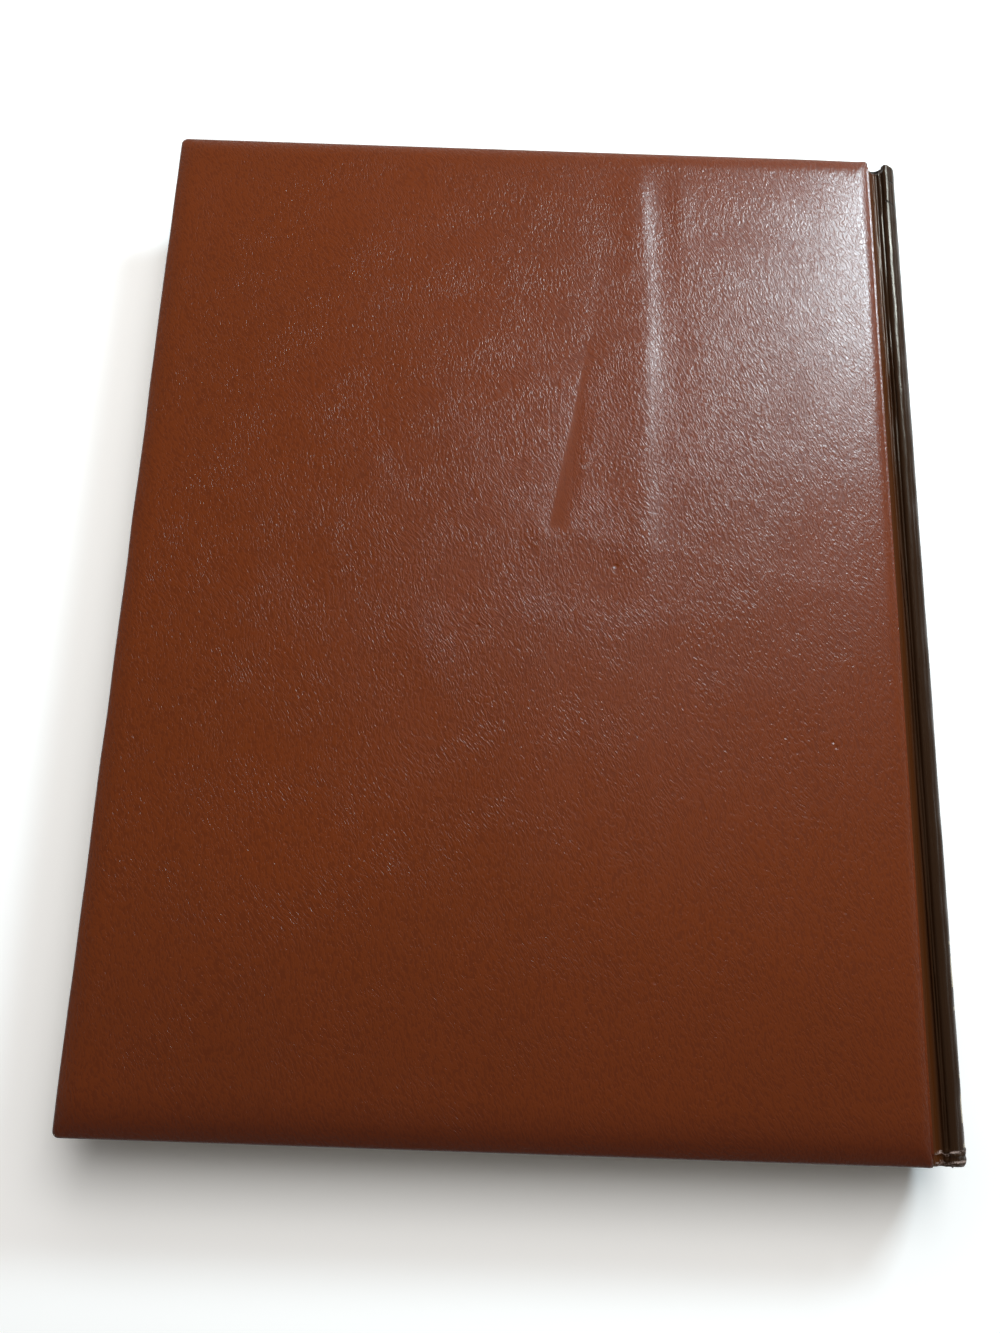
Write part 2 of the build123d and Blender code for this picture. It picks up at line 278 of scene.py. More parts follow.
def spine_leatherette(name, colours, marks):
    """Glossy PU leatherette, near black, calendered smooth. It is warm brown along the joint, pale where the
    caps are worn through, cracked near the head, painted dark as shade in the head's hollow, and carries
    plain printed rules."""
    material, add, shader, place = start_material(name, 0.3, colours.cloth, 1.45, bends=True)
    x, y, z = add("SeparateXYZ", place).node.outputs
    stretches = (((1.6, 0.8, 1.6), 2.0, 0.5), ((1.1, 0.05, 1.1), 3.0, 0.6), ((0.9, 1.5, 0.9), 3.0, 0.7))
    grain, long_grain, wear = [
        add("TexNoise", add("VectorMath", "MULTIPLY", place, stretch), 1.0, detail, fineness)
        for stretch, detail, fineness in stretches
    ]
    warm = add("MapRange", "SMOOTHSTEP", x, 102.2, 104.6, 1.0, 0.0)
    base = add("Mix", "RGBA", add("Math", "MULTIPLY", warm, 0.85), colours.cloth, colours.cloth_warm)
    end = add("MapRange", "SMOOTHSTEP", add("Math", "ABSOLUTE", y), half_cover - 1.3, half_cover - 0.1)
    rubbed = add("Math", "MULTIPLY", end, add("MapRange", "SMOOTHSTEP", wear, 0.47, 0.62))
    wave = add("Math", "SINE", add("Math", "MULTIPLY_ADD", x, 0.8, add("Math", "MULTIPLY", z, 1.9)))
    for up, swing, _ in TAIL_FOLDS:
        fold = add("Math", "ADD", add("Math", "MULTIPLY_ADD", wave, swing, y), half_cover - up)
        line = add("MapRange", "SMOOTHSTEP", add("Math", "ABSOLUTE", fold), 0.05, 0.4, 1.0, 0.0)
        line = add("Math", "MULTIPLY", line, add("MapRange", "SMOOTHSTEP", wear, 0.4, 0.58))
        above = add("MapRange", "SMOOTHSTEP", z, mid_z + 4.5, mid_z + 9.0, 0.12, 1.0)
        rubbed = add("Math", "MAXIMUM", rubbed, add("Math", "MULTIPLY", line, above))
    rubbed = add("Math", "MULTIPLY", rubbed, add("MapRange", "SMOOTHSTEP", x, 101.0, 102.0))
    base = add("Mix", "RGBA", add("Math", "MULTIPLY", rubbed, 0.75), base, linear("b39f98"))
    # Painted shade: near black in the hollow of the joint at the head; the two cracks nearby are real damage
    in_head = add("MapRange", "SMOOTHSTEP", y, half_cover - 2.6, half_cover - 1.4)
    by_joint = add("MapRange", "SMOOTHSTEP", x, 104.6, 105.6, 1.0, 0.0)
    cracks_and_hollow_shade = add("Math", "MULTIPLY", add("Math", "MULTIPLY", in_head, by_joint), 0.9)
    for crack_x, crack_y, lean, reach in ((105.9, 129.6, -0.42, 6.0), (107.3, 136.9, 0.1, 1.5)):
        ragged = add("Math", "MULTIPLY_ADD", wear, 0.5, crack_y - 0.25)
        line_y = add("Math", "MULTIPLY_ADD", add("Math", "SUBTRACT", x, crack_x), lean, ragged)
        away = add("Math", "ABSOLUTE", add("Math", "SUBTRACT", y, line_y))
        line = add("MapRange", "SMOOTHSTEP", away, 0.08, 0.32, 1.0, 0.0)
        begun = add("MapRange", "SMOOTHSTEP", x, crack_x - 0.3, crack_x)
        ended = add("MapRange", "SMOOTHSTEP", x, crack_x + reach, crack_x + reach + 0.5, 1.0, 0.0)
        line = add("Math", "MULTIPLY", line, add("Math", "MULTIPLY", begun, ended))
        cracks_and_hollow_shade = add("Math", "MAXIMUM", cracks_and_hollow_shade, line)
    cracks_and_hollow_shade = add("Math", "MULTIPLY", cracks_and_hollow_shade, add("MapRange", "SMOOTHSTEP", z, mid_z + 3.0, mid_z + 8.0))
    # Near black over the painted shade of the head's hollow and along the cracks
    base = add("Mix", "RGBA", cracks_and_hollow_shade, base, linear("0c0806"))
    soft_edge, face_x = 0.06, 109.2
    printed = 0.0
    for low, high in marks:
        from_low = add("MapRange", "SMOOTHSTEP", y, low - soft_edge, low + soft_edge)
        to_high = add("MapRange", "SMOOTHSTEP", y, high - soft_edge, high + soft_edge, 1.0, 0.0)
        printed = add("Math", "MAXIMUM", printed, add("Math", "MULTIPLY", from_low, to_high))
    printed = add("Math", "MULTIPLY", printed, add("MapRange", "SMOOTHSTEP", x, face_x, face_x + 0.1))
    ink = add("MapRange", "SMOOTHSTEP", add("TexNoise", place, 3.0, 2.0), 0.28, 0.42)
    printed = add("Math", "MULTIPLY", printed, ink)
    rough = add("MapRange", "SMOOTHSTEP", long_grain, 0.3, 0.7, 0.22, 0.32)
    rough = add("Math", "MULTIPLY_ADD", add("Math", "MAXIMUM", rubbed, cracks_and_hollow_shade), 0.25, rough)
    gloss = {
        "Base Color": add("Mix", "RGBA", printed, base, colours.mark),
        "Roughness": add("Math", "MULTIPLY_ADD", printed, 0.2, rough),
        "Specular Tint": linear("fff0dc"),
    }
    feed(shader, gloss)
    finish_bump(add, shader, [(grain, 0.02), (long_grain, 0.1), (rubbed, -0.08), (cracks_and_hollow_shade, -0.3)])
    return material


def page_paper(name, colours):
    """Uncoated book paper, trimmed by guillotine: thin leaf lines that follow the backed shoulders,
    grouped in sections, with a soft unevenness along the cut."""
    sections, leaf_lines, along_cut = 10.0, 62.0, 0.012
    material, add, shader, place = start_material(name, 0.85, colours.paper)
    x, y, z = add("SeparateXYZ", place).node.outputs
    past = add("Math", "MAXIMUM", add("Math", "SUBTRACT", x, tip_x - shoulder_run), 0.0)
    rise = shoulder_rise / shoulder_run**2
    flare = add("Math", "MULTIPLY_ADD", add("Math", "POWER", past, 2.0), rise, half_block)
    leaf = add("Math", "DIVIDE", add("Math", "SUBTRACT", z, mid_z), flare)
    wander = add("TexNoise", add("VectorMath", "MULTIPLY", place, (0.03, 0.03, 0.0)), 1.0, 2.0)
    leaf = add("Math", "MULTIPLY_ADD", add("Math", "SUBTRACT", wander, 0.5), 0.012, leaf)
    along = add("CombineXYZ", *[
        add("Math", "MULTIPLY", part, scale) for part, scale in ((x, along_cut), (y, along_cut), (leaf, leaf_lines))
    ])
    leaves = add("TexNoise", along, 1.0, 3.0, 0.75)
    section = add("Math", "FRACT", add("Math", "MULTIPLY_ADD", leaf, sections, sections))
    off_middle = add("Math", "ABSOLUTE", add("Math", "SUBTRACT", section, 0.5))
    gap = add("MapRange", "SMOOTHSTEP", off_middle, 0.44, 0.5)
    thin = add("MapRange", "SMOOTHSTEP", leaves, 0.58, 0.35, 0.0, 0.6)
    dark = add("Math", "MAXIMUM", add("Math", "MULTIPLY", gap, 0.55), thin)
    base = add("Mix", "RGBA", dark, colours.paper, linear("a99d86"))
    tint = add("MapRange", "SMOOTHSTEP", add("TexNoise", place, 1 / 30, 2.0), 0.3, 0.75, 0.0, 0.4)
    feed(shader, {"Base Color": add("Mix", "RGBA", tint, base, linear("dccfae"), blend_type="MULTIPLY")})
    finish_bump(add, shader, [(leaves, 0.12), (gap, -0.08)])
    return material


def fibrous(name, base, second, rough, fibre, depth, share=0.35):
    """A sheet or card of matted fibre: a fine speckle with flecks of a second colour."""
    material, add, shader, place = start_material(name, rough, base)
    specks = add("TexNoise", place, 1 / fibre, 4.0, 0.7)
    clouds = add("TexNoise", place, 1 / 25, 2.0)
    flecked = add("Mix", "RGBA", add("MapRange", "SMOOTHSTEP", specks, 0.42, 0.7, 0.0, share), base, second)
    cloudy = add("Mix", "RGBA", add("MapRange", "SMOOTHSTEP", clouds, 0.3, 0.8, 0.0, 0.25), flecked, second)
    feed(shader, {"Base Color": cloudy})
    finish_bump(add, shader, [(specks, depth)])
    return material


def foam_material(name, base):
    """Open-cell polyurethane foam, cut from a block: round cells of about 0.6 mm and a matt surface."""
    cells_per_mm = 1.6
    material, add, shader, place = start_material(name, 0.95, base)
    hole = add("MapRange", "SMOOTHSTEP", add("TexVoronoi", place, cells_per_mm), 0.1, 0.42, 1.0, 0.0)
    feed(shader, {"Base Color": add("Mix", "RGBA", add("Math", "MULTIPLY", hole, 0.45), base, linear("b3a888"))})
    finish_bump(add, shader, [(hole, -0.2)])
    return material


def woven(name, base, second, pitch, depth, twill=0.0):
    """Woven or wound thread: two crossing sets of rounded threads at their real spacing."""
    material, add, shader, place = start_material(name, 0.8, base)
    y, z = add("SeparateXYZ", place).node.outputs[1:]
    warp = add("Math", "SINE", add("Math", "MULTIPLY", y, 2 * pi / pitch))
    slant = add("Math", "MULTIPLY", y, twill)
    weft = add("Math", "SINE", add("Math", "MULTIPLY_ADD", z, 2 * pi / pitch, slant))
    weave = add("Math", "MULTIPLY_ADD", add("Math", "ADD", warp, weft), 0.25, 0.5)
    height = add("Math", "MULTIPLY_ADD", add("TexNoise", place, 2.5, 3.0, 0.7), 0.4, weave)
    between = add("MapRange", "SMOOTHSTEP", weave, 0.2, 0.7, 0.8, 0.0)
    feed(shader, {"Base Color": add("Mix", "RGBA", between, base, second)})
    finish_bump(add, shader, [(height, depth)])
    return material


# Meshes


def select_only(made):
    for other in bpy.context.selected_objects:
        other.select_set(False)
    bpy.context.view_layer.objects.active = made
    made.select_set(True)


def mesh_object(name, points, faces, material):
    """A new smooth object from points in millimetres, with nothing selected but itself."""
    mesh = bpy.data.meshes.new(name)
    mesh.from_pydata((np.asarray(points) * MM).tolist(), [], np.asarray(faces).tolist())
    mesh.validate()
    mesh.materials.append(material)
    made = bpy.data.objects.new(name, mesh)
    bpy.context.scene.collection.objects.link(made)
    select_only(made)
    bpy.ops.object.shade_smooth()
    return made


def finish_sheet(made, merge, thickness, offset, sharp_from):
    """Merges a sheet's doubled points, gives it its thickness and keeps its sharp edges, in degrees."""
    select_only(made)
    bpy.ops.object.mode_set(mode="EDIT")
    bpy.ops.mesh.select_all(action="SELECT")
    bpy.ops.mesh.remove_doubles(threshold=merge * MM)
    bpy.ops.object.mode_set(mode="OBJECT")
    wall = made.modifiers.new("Solidify", "SOLIDIFY")
    wall.thickness, wall.offset = thickness * MM, offset
    bpy.ops.object.modifier_apply(modifier=wall.name)
    bpy.ops.object.shade_smooth_by_angle(angle=radians(sharp_from))


def grid_faces(index):
    """Four-sided faces between the points of a grid, from the grid of their numbers."""
    return [
        (index[i, j], index[i + 1, j], index[i + 1, j + 1], index[i, j + 1])
        for i in range(index.shape[0] - 1)
        for j in range(index.shape[1] - 1)
    ]


def mirrored(points):
    """Points in millimetres mirrored about the middle of the pages' thickness."""
    flipped = np.array(points, float)
    flipped[..., 2] = 2 * mid_z - flipped[..., 2]
    return flipped


def ripples(x, y, seed, shortest, longest):
    """Smooth uneven height from about -1 to 1, the same on each run, from waves of so many millimetres."""
    waves, damping = 18, 1.6
    source = np.random.default_rng(seed)
    total = np.zeros_like(np.asarray(x, float))
    for _ in range(waves):
        wave = 2 * pi / source.uniform(shortest, longest)
        heading, phase = source.uniform(0, pi), source.uniform(0, 2 * pi)
        total = total + np.sin(wave * (x * cos(heading) + y * sin(heading)) + phase)
    return total / sqrt(waves / 2) / damping


def along_path(x, y, path):
    """Signed distance to a path, positive on its right going down it, and the share of it passed."""
    path = np.array(path, float)
    runs = np.hypot(*np.diff(path, axis=0).T)
    best = np.full(np.shape(x), 1e9)
    signed, share = np.zeros(np.shape(x)), np.zeros(np.shape(x))
    passed = 0.0
    for start, end, run in zip(path[:-1], path[1:], runs):
        direction = (end - start) / run
        t = np.clip(((x - start[0]) * direction[0] + (y - start[1]) * direction[1]) / run, 0, 1)
        away_x, away_y = x - start[0] - t * run * direction[0], y - start[1] - t * run * direction[1]
        away = np.hypot(away_x, away_y)
        side = np.where(direction[0] * away_y - direction[1] * away_x > 0, 1.0, -1.0)
        closer = away < best
        best = np.where(closer, away, best)
        signed = np.where(closer, away * side, signed)
        share = np.where(closer, (passed + t * run) / runs.sum(), share)
        passed += run
    return signed, share


def step(value, low, high):
    """From 0 at or below low to 1 at or above high, smoothly."""
    t = np.clip((np.asarray(value, float) - low) / (high - low), 0, 1)
    return t * t * (3 - 2 * t)


def roll_height(distance, rise, roll, tight):
    """Height of a rolled edge at a distance in from it: a tight arc, then a wide one up to flat."""
    wide = ((roll - tight) ** 2 + rise**2 - tight**2) / (2 * (rise - tight))
    meet = roll - wide * (roll - tight) / (wide - tight)
    d = np.clip(distance, 0, roll)
    near = np.sqrt(np.maximum(tight**2 - (tight - np.minimum(d, tight)) ** 2, 0))
    far = rise - wide + np.sqrt(np.maximum(wide**2 - (roll - d) ** 2, 0))
    return np.where(d < meet, near, far)


def from_edge(x, y):
    """Distance from a cover's nearest edge."""
    return np.minimum(np.minimum(x - skin_low[0], skin_high[0] - x), half_cover - np.abs(y))


def bell(value, width):
    return np.exp(-((value / width) ** 2))


# Lines on the upper cover: the pressed crease, the fainter one at its foot, and the flat facet's lower edge
CREASE = [(29.5, 128.3), (17.0, 93.1), (14.4, 76.4), (10.6, 50.6), (6.8, 31.9), (3.9, 18.2)]
SECOND_CREASE = [(3.9, 18.2), (18.3, 15.5), (46.0, 10.9), (70.7, 4.5), (99.3, -0.3)]
PRESSED_EDGE = [(11.5, 53.0), (10.8, 30.0), (10.6, 17.4), (4.6, 17.2)]


def upper_relief(x, y, sizes):
    """Unevenness of the upper cover: swells of the padding, a pressed crease and a long soft ridge."""
    depth, swell, rise = sizes.crease_depth / MM, sizes.swell / MM, sizes.ridge / MM
    inside = step(from_edge(x, y), 2, 16)
    height = swell * (ripples(x, y, 3, 55, 120) + 0.16 * ripples(x, 0.4 * y, 8, 16, 34)) * inside
    signed, share = along_path(x, y, CREASE)
    strength = depth * (0.18 + 0.82 * step(share, 0.35, 0.9)) * step(-y, -132, -112)
    tail = step(y, 14.0, 19.5)
    left_run, right_run = 3.6, 6.2
    valley = np.where(signed < 0, np.exp(signed / left_run), np.clip(1 - signed / right_run, 0, 1) ** 1.1)
    height = height - strength * valley * np.where(share > 0.999, tail, 1.0)
    knob = np.exp(-(((x - 1.6) / 3.2) ** 2 + ((y - 15.5) / 4.6) ** 2))
    height = height + 0.42 * depth * knob
    signed, share = along_path(x, y, SECOND_CREASE)
    fold = np.where(signed > 0, np.exp(-signed / 3.0), bell(signed, 5.0))
    height = height + 0.3 * depth * fold * (1 - 0.6 * step(share, 0.1, 0.9)) * inside
    signed, share = along_path(x, y, PRESSED_EDGE)
    height = height - 0.1 * depth * bell(signed, 1.6)
    ridge_x = 30.3 + 0.7 * np.sin(y / 31.0) + 0.5 * np.sin(y / 13.0 + 1.0)
    away = x - ridge_x
    left_width, right_width = 8.0, 3.2
    ridge = np.where(away < 0, bell(away, left_width), bell(away, right_width)) - 0.25 * bell(away - 8.5, 4.5)
    for distance, drop, run in ((skin_high[0] - x, 0.46, 24.0), (half_cover - np.abs(y), 0.26, 26.0)):
        height = height - drop * (1 - np.clip(distance / run, 0, 1)) ** 2
    fade = step(y, -112, -40) * (0.55 + 0.45 * step(y, -20, 50)) * (0.8 + 0.2 * np.sin(y / 8.5))
    height = height + rise * ridge * fade * inside
    patch = np.exp(-(((x - 41.7) / 3.0) ** 2 + ((y - 121) / 15.0) ** 2))
    height = height + 0.45 * rise * patch * inside
    for at_x, at_y, radius, sink in ((-40.8, 35.3, 2.2, 0.12), (-16.5, -6.6, 2.0, 0.1), (22.8, 6.8, 1.9, 0.14)):
        height = height - sink * np.exp(-(((x - at_x) ** 2 + (y - at_y) ** 2) / radius**2))
    deepest, free = 0.94 * leather, 0.6 * leather
    sunk = np.maximum(-height, 0)
    soft = free + (deepest - free) * np.tanh(np.maximum(sunk - free, 0) / (deepest - free))
    return np.maximum(height, 0) - np.where(sunk < free, sunk, soft)


def lower_relief(x, y, sizes):
    """Unevenness of the lower cover, which only sinks inwards so that it still lies flat."""
    uneven = 0.5 + 0.5 * np.clip(ripples(x, y, 21, 40, 110), -1, 1)
    return -0.5 * sizes.swell / MM * uneven * step(from_edge(x, y), 4, 20)


def grid_lines(low, high, roll, pieces):
    """Places of grid lines: close together over both rolled edges, and spaced between as each piece says,
    by where it starts and its spacing."""
    edge = np.array([0, 0.12, 0.3, 0.55, 0.85, 1.3, 1.9, 2.7, 3.6, 4.6, 5.6]) * roll / 6.5
    inner_low, inner_high = low + roll, high - roll
    lines = list(low + edge)
    stops = [inner_low] + [stop for stop, _ in pieces] + [inner_high]
    spacings = [spacing for _, spacing in pieces] + [pieces[-1][1]]
    for start, end, spacing in zip(stops[:-1], stops[1:], spacings):
        steps = max(1, ceil((end - start) / spacing))
        lines += list(start + (end - start) * np.arange(steps) / steps)
    return np.array(lines + [inner_high] + list(high - edge[::-1]))


def cover_skin(name, material, sizes, x_pieces, y_pieces, relief, turn_over):
    """The leatherette of one cover: over the padding, down the edges, turned in under the board on three
    sides and folded under at the joint. It is modelled as the upper cover."""
    roll, tight = sizes.roll / MM, sizes.edge_radius / MM
    left, right, top = skin_low[0], skin_high[0], skin_high[2]
    foot, fold_z, under = board_high[2], lap_high[2], skin_low[2]
    xs = grid_lines(left, right, roll, x_pieces)
    ys = grid_lines(-half_cover, half_cover, roll, y_pieces)
    x, y = np.meshgrid(xs, ys, indexing="ij")
    from_side = np.minimum(x - left, right - x)
    from_end = half_cover - np.abs(y)
    ring = np.minimum(from_side, from_end)
    other = np.maximum(from_side, from_end) - ring
    at_joint = (right - x) < (x - left)
    joint_corner, fore_corner = 0.7, 1.7
    corner = np.where(at_joint, joint_corner, fore_corner) + 0.45 * np.minimum(ring, roll)
    mapped = ring < roll + 4
    angle = np.clip(1 - other / corner, 0, 1) * mapped * pi / 4
    near = ring + corner * (1 - np.cos(angle))
    far = ring + corner * (1 - np.sin(angle))
    far = np.where(other < corner, far, ring + other)
    side_first = from_side <= from_end
    across = np.where(mapped, np.where(side_first, near, far), from_side)
    along = np.where(mapped, np.where(side_first, far, near), from_end)
    px = np.where(at_joint, right - across, left + across)
    py = np.sign(y) * (half_cover - along)
    wall = roll_height(ring, top - foot, roll, tight)
    joint = fold_z - foot + roll_height(np.minimum(ring * 1.9, roll), top - fold_z, roll, 0.9)
    towards = np.where(at_joint, step(from_end - from_side, -2.5, 2.5), 0.0)
    pz = foot + wall + (joint - wall) * towards
    pz = pz + relief(px, py, sizes)
    wobble = 0.16 * ripples(py, px, 5, 20, 70) * (1 - step(ring, 0, 3))
    px = np.where((from_side < 3) & ~at_joint & (from_end > 8), px - wobble * 0.6, px)
    count = x.size
    index = np.arange(count).reshape(x.shape)
    points = [np.stack([px, py, pz], -1).reshape(-1, 3)]
    faces = grid_faces(index)
    chain = list(index[::-1, 0]) + list(index[0, 1:-1]) + list(index[:, -1])
    outline = points[0][chain]
    previous = chain
    edge = 0.5
    levels = [(0.0, z) for z in np.linspace(foot, under + edge, 4)[1:]]
    levels += [(edge * (1 - cos(a)), under + edge * (1 - sin(a))) for a in (pi / 6, pi / 3, pi / 2)]
    levels += [(inset, under) for inset in (1.5, 3.5, 7.0, 11.0, sizes.turn_in / MM)]
    for inset, z in levels:
        ring_points = outline.copy()
        ring_points[:, 0] = np.clip(outline[:, 0], left + inset, board_high[0])
        ring_points[:, 1] = np.clip(outline[:, 1], -half_cover + inset, half_cover - inset)
        ring_points[:, 2] = z
        new = list(range(count, count + len(chain)))
        faces += [(previous[k], previous[k + 1], new[k + 1], new[k]) for k in range(len(chain) - 1)]
        points.append(ring_points)
        previous = new
        count += len(chain)
    joint_chain = list(index[-1, :])
    fold_half = half_cover - lap_end
    inside = np.flatnonzero(np.abs(points[0][joint_chain][:, 1]) < fold_half)
    outline = points[0][joint_chain][np.clip(np.arange(len(joint_chain)), inside[0], inside[-1])]
    outline[: inside[0] + 1, 1], outline[inside[-1] :, 1] = -fold_half, fold_half
    previous = joint_chain
    for inset, drop in ((0.12, 0.1), (0.4, 0.12), (2.5, 0.12), (0.5 + sizes.fold_under / MM, 0.12)):
        ring_points = outline.copy()
        ring_points[:, 0] = outline[:, 0] - inset
        ring_points[:, 2] = np.maximum(outline[:, 2] - drop, fold_z + 0.01)
        new = list(range(count, count + len(joint_chain)))
        faces += [(previous[k], new[k], new[k + 1], previous[k + 1]) for k in range(len(joint_chain) - 1)]
        points.append(ring_points)
        previous = new
        count += len(joint_chain)
    points = np.concatenate(points)
    if turn_over:
        points = mirrored(points)
        faces = [face[::-1] for face in faces]
    made = mesh_object(name, points, faces, material)
    off_padding = 0.03
    finish_sheet(made, 0.004, leather - off_padding, -1.0, 50)
    return made


def tip_heading():
    """The upper shoulder's direction in x and z where it reaches its tip."""
    turn = asin(shoulder_run / shoulder_bend)
    return np.array([cos(turn), sin(turn)])


def smooth_route(route, spacing):
    """Points on a smooth curve through a route, as (x, z, normal angle), closer where the cloth bends."""
    pieces, smoothings, bend_spacing = 40, 30, 0.045
    route = np.array(route, float)
    ends = 2 * route[[0, -1]] - route[[1, -2]]
    knots = np.concatenate([ends[:1], route, ends[1:]])
    fine = []
    for p0, p1, p2, p3 in zip(knots[:-3], knots[1:-2], knots[2:-1], knots[3:]):
        bow, twist = 2 * p0 - 5 * p1 + 4 * p2 - p3, 3 * p1 - p0 - 3 * p2 + p3
        for t in np.arange(pieces) / pieces:
            fine.append(0.5 * (2 * p1 + (p2 - p0) * t + bow * t**2 + twist * t**3))
    fine = np.array(fine + [route[-1]])
    for _ in range(smoothings):
        fine[1:-1] = (fine[:-2] + 2 * fine[1:-1] + fine[2:]) / 4
    runs = np.concatenate([[0], np.cumsum(np.hypot(*np.diff(fine, axis=0).T))])
    at = [0.0]
    while at[-1] < runs[-1] - 1.5 * spacing:
        here = np.array([np.interp(at[-1], runs, fine[:, k]) for k in (0, 1)])
        bending = -1.1 < (here - (tip_x, tip_z)) @ tip_heading() < 0.0 and here[1] > tip_z
        at.append(at[-1] + (bend_spacing if bending else spacing))
    at = np.array(at + [runs[-1]])
    x, z = np.interp(at, runs, fine[:, 0]), np.interp(at, runs, fine[:, 1])
    slope_x, slope_z = np.gradient(x, at), np.gradient(z, at)
    return list(zip(x, z, np.arctan2(slope_x, -slope_z)))


# The spine cloth's way into the groove and up over the shoulder, from the lap's edge and the groove's floor
GROOVE = (
    (1.35, 0.95),
    (2.2, 0.4),
    (2.7, 0.12),
    (3.25, 0.1),
    (3.7, 0.48),
    (4.1, 0.72),
    (4.4, 0.88),
    (4.7, 1.32),
    (5.05, 1.58),
    (5.7, 1.66),
    (6.4, 1.54),
    (7.2, 1.1),
    (8.8, -0.1),
)


def spine_path():
    """The spine cloth's outer line from the lap over the board to mid height, as (x, z, normal angle), and
    the x of its arc's centre."""
    edge_x, lap_z = lap_high[0], lap_high[2]
    line = [(x, lap_z, pi / 2) for x in (lap_low[0], board_high[0] - 4.0, board_high[0] - 0.4)]
    for a in np.linspace(pi / 2, 0, 6):
        line.append((board_high[0] + cloth * cos(a), lap_z - cloth + cloth * sin(a), a))
    paper_and_gauze = 0.5
    floor_z = mid_z + half_block + (paper_and_gauze + cloth)
    reach = spine_high[0] - cloth - tip_x
    rise = reach - paper_and_gauze
    lead = (half_tip**2 - rise**2) / (2 * rise)
    radius = lead + reach + cloth
    centre = tip_x - lead
    join = radians(28.5)

    def on_arc(a):
        return centre + radius * cos(a), mid_z + radius * sin(a)

    route = [(edge_x, lap_z - cloth), (edge_x + 0.45, lap_z - cloth - 0.6)]
    route += [(edge_x + out, floor_z + up) for out, up in GROOVE]
    route += [on_arc(join), on_arc(join * 0.85)]
    line += smooth_route(route, 0.16)
    steps = 16
    angles = [join * 0.85 * (1 - k / steps) for k in range(1, steps)] + [join * 0.012, 0.0006, 0.0]
    line = np.array(line + [(*on_arc(a), a) for a in angles])
    keep = np.ones(len(line), bool)
    keep[1:] = np.hypot(*(np.diff(line[:, :2], axis=0).T)) > 1e-4
    return line[keep], centre


# Creases along the upper joint: place in x, lean, width (negative for a furrow), strength and waviness
CREASES = (
    (103.35, 0.006, 0.2, 0.95, 0.3),
    (104.45, 0.002, 0.18, 0.75, 0.15),
    (103.9, 0.004, -0.18, 0.6, 0.2),
    (104.85, 0.0, -0.16, 0.35, 0.15),
    (102.8, 0.006, -0.2, 0.3, 0.3),
)


def spine_relief(x, z, y, side, sizes):
    """Swells of the spine cloth along its outward normal. The upper half also has creases along the joint,
    the tail cap's folds and the hollow that is pressed into the joint at the head."""
    up = np.abs(z - mid_z)
    height = np.zeros(np.shape(x))
    on_back = step(x, tip_x + 0.3, tip_x + 2.2)
    height += 0.05 * ripples(y, up * 3.0 + 40 * side, 31, 9, 45) * on_back * step(up, 0.0, 2.0)
    height += 0.03 * ripples(y, 0 * y, 32, 12, 60) * on_back
    shoulder = step(x, tip_x - 1.2, tip_x + 0.6) * (1 - step(x, tip_x + 2.5, tip_x + 5.0))
    height += 0.07 * ripples(y, up * 2, 33 + side, 6, 26) * shoulder
    if side:
        return height
    groove = sizes.groove_crease / MM
    at_joint = (x < tip_x) & (z > mid_z)
    for k, (at, lean, width, share, wave) in enumerate(CREASES):
        centre = at + lean * (half_cover - y) * 0.6 + wave * 0.45 * ripples(y, 0 * y, 41 + k, 18, 80)
        strength = groove * share * np.clip(0.75 + 0.5 * ripples(y, 0 * y, 51 + k, 14, 60), 0.1, 1.3)
        lift = np.sign(width) * strength * bell(x - centre, abs(width))
        height += np.where(at_joint, lift, 0.0) * step(x, 101.2, 102.0)
    tail = (x > 101.0) * step(-y, half_cover - 5.5, half_cover - 4.0) * step(up, 4.5, 9.0)
    for from_tail, swing, strength in TAIL_FOLDS:
        fold = -y - (half_cover - from_tail) - swing * np.sin(0.8 * x + 1.9 * up)
        height += strength * bell(fold, 0.42) * tail
    hollow = bell(x - 105.1, 0.6) * step(y, 125, 130) * (1 - step(y, 139, 141.5))
    return height - 0.4 * hollow * (z > mid_z)


def head_dip(x, z, y, side):
    """How far both layers of the spine cloth sink into the joint at the head, beyond the pages."""
    if side:
        return 0 * x
    dip = step(x, 100.8, 101.6) * (1 - step(x, 104.6, 106.4)) * step(y, half_cover - 3.0, half_cover - 0.8)
    return 1.3 * dip * (z > mid_z)


